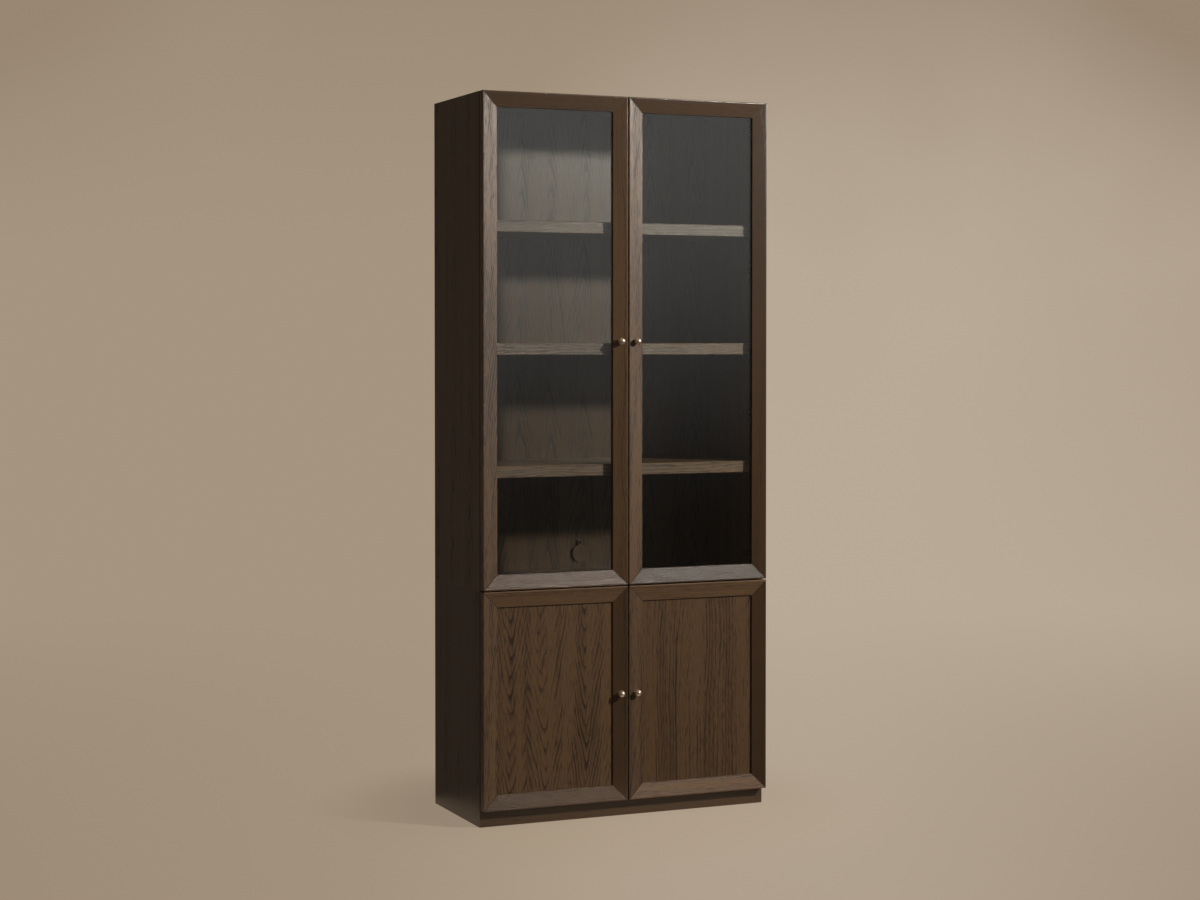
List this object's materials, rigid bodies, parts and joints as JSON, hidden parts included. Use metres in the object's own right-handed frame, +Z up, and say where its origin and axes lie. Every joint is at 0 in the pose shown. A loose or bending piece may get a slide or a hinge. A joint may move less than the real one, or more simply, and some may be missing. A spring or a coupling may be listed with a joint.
{
  "type": "glazed display cabinet",
  "caption": "Tall two-part oak display cabinet: glazed hinged doors over shelves above, framed panel doors below, on a plinth.",
  "frame": {"origin": "on the floor, in the middle of the cabinet's overall footprint, knobs included", "axes": "+X to the right of someone who faces the doors, +Y from the doors to the back, +Z up"},
  "size_m": [1.014, 0.482, 2.35],
  "materials": {
    "dark_oak": "satin, open grain, stained dark brown",
    "clear_glass": "polished",
    "brass": "satin lacquered",
    "steel": "nickel plated",
    "bumper_plastic": "soft translucent"
  },
  "bodies": {
    "cabinet": {"plinth_front": "dark_oak", "plinth_back": "dark_oak", "plinth_side_left": "dark_oak", "plinth_side_right": "dark_oak", "base_side_left": "dark_oak", "base_side_right": "dark_oak", "base_bottom": "dark_oak", "base_top": "dark_oak", "base_back": "dark_oak", "base_shelf": "dark_oak", "upper_side_left": "dark_oak", "upper_side_right": "dark_oak", "upper_bottom": "dark_oak", "upper_top": "dark_oak", "upper_back": "dark_oak", "shelf_low": "dark_oak", "shelf_middle": "dark_oak", "shelf_high": "dark_oak", "wall_rail": "dark_oak", "shelf_pins": "steel", "connector_bolts": "steel", "cable_cover_screw": "steel", "hinge_plates": "steel", "hinge_arms": "steel", "door_bumpers": "bumper_plastic"},
    "cable_cover": {"cable_cover": "dark_oak"},
    "upper_left_door": {"upper_left_hinge_stile": "dark_oak", "upper_left_meeting_stile": "dark_oak", "upper_left_top_rail": "dark_oak", "upper_left_bottom_rail": "dark_oak", "upper_left_glass": "clear_glass", "upper_left_glass_beads": "dark_oak", "upper_left_knob": "brass", "upper_left_hinge_cups": "steel"},
    "upper_left_hinge_links": {"upper_left_hinge_links": "steel"},
    "upper_right_door": {"upper_right_hinge_stile": "dark_oak", "upper_right_meeting_stile": "dark_oak", "upper_right_top_rail": "dark_oak", "upper_right_bottom_rail": "dark_oak", "upper_right_glass": "clear_glass", "upper_right_glass_beads": "dark_oak", "upper_right_knob": "brass", "upper_right_hinge_cups": "steel"},
    "upper_right_hinge_links": {"upper_right_hinge_links": "steel"},
    "lower_left_door": {"lower_left_hinge_stile": "dark_oak", "lower_left_meeting_stile": "dark_oak", "lower_left_top_rail": "dark_oak", "lower_left_bottom_rail": "dark_oak", "lower_left_panel": "dark_oak", "lower_left_knob": "brass", "lower_left_hinge_cups": "steel"},
    "lower_left_hinge_links": {"lower_left_hinge_links": "steel"},
    "lower_right_door": {"lower_right_hinge_stile": "dark_oak", "lower_right_meeting_stile": "dark_oak", "lower_right_top_rail": "dark_oak", "lower_right_bottom_rail": "dark_oak", "lower_right_panel": "dark_oak", "lower_right_knob": "brass", "lower_right_hinge_cups": "steel"},
    "lower_right_hinge_links": {"lower_right_hinge_links": "steel"}
  },
  "joints": [
    {"name": "upper_left_door_hinge", "type": "hinge", "parent": "cabinet", "child": "upper_left_door", "pos_m": [-0.494, -0.207, 1.555], "axis": [0, 0, 1], "range_deg": [-95, 0]},
    {"name": "upper_left_link_pivot", "type": "hinge", "parent": "cabinet", "child": "upper_left_hinge_links", "pos_m": [-0.4723, -0.1808, 1.555], "axis": [0, 0, 1], "range_deg": [0, 33]},
    {"name": "upper_right_door_hinge", "type": "hinge", "parent": "cabinet", "child": "upper_right_door", "pos_m": [0.494, -0.207, 1.555], "axis": [0, 0, 1], "range_deg": [0, 95]},
    {"name": "upper_right_link_pivot", "type": "hinge", "parent": "cabinet", "child": "upper_right_hinge_links", "pos_m": [0.4723, -0.1808, 1.555], "axis": [0, 0, 1], "range_deg": [-33, 0]},
    {"name": "lower_left_door_hinge", "type": "hinge", "parent": "cabinet", "child": "lower_left_door", "pos_m": [-0.494, -0.207, 0.4055], "axis": [0, 0, 1], "range_deg": [-95, 0]},
    {"name": "lower_left_link_pivot", "type": "hinge", "parent": "cabinet", "child": "lower_left_hinge_links", "pos_m": [-0.4723, -0.1808, 0.4055], "axis": [0, 0, 1], "range_deg": [0, 33]},
    {"name": "lower_right_door_hinge", "type": "hinge", "parent": "cabinet", "child": "lower_right_door", "pos_m": [0.494, -0.207, 0.4055], "axis": [0, 0, 1], "range_deg": [0, 95]},
    {"name": "lower_right_link_pivot", "type": "hinge", "parent": "cabinet", "child": "lower_right_hinge_links", "pos_m": [0.4723, -0.1808, 0.4055], "axis": [0, 0, 1], "range_deg": [-33, 0]},
    {"name": "cable_cover_pivot", "type": "hinge", "parent": "cabinet", "child": "cable_cover", "pos_m": [0, 0.1877, 0.868], "axis": [0, 1, 0], "continuous": true}
  ],
  "couplings": [
    {"joint": "upper_left_link_pivot", "follows": "upper_left_door_hinge", "ratio": -0.34},
    {"joint": "upper_right_link_pivot", "follows": "upper_right_door_hinge", "ratio": -0.34},
    {"joint": "lower_left_link_pivot", "follows": "lower_left_door_hinge", "ratio": -0.34},
    {"joint": "lower_right_link_pivot", "follows": "lower_right_door_hinge", "ratio": -0.34}
  ]
}
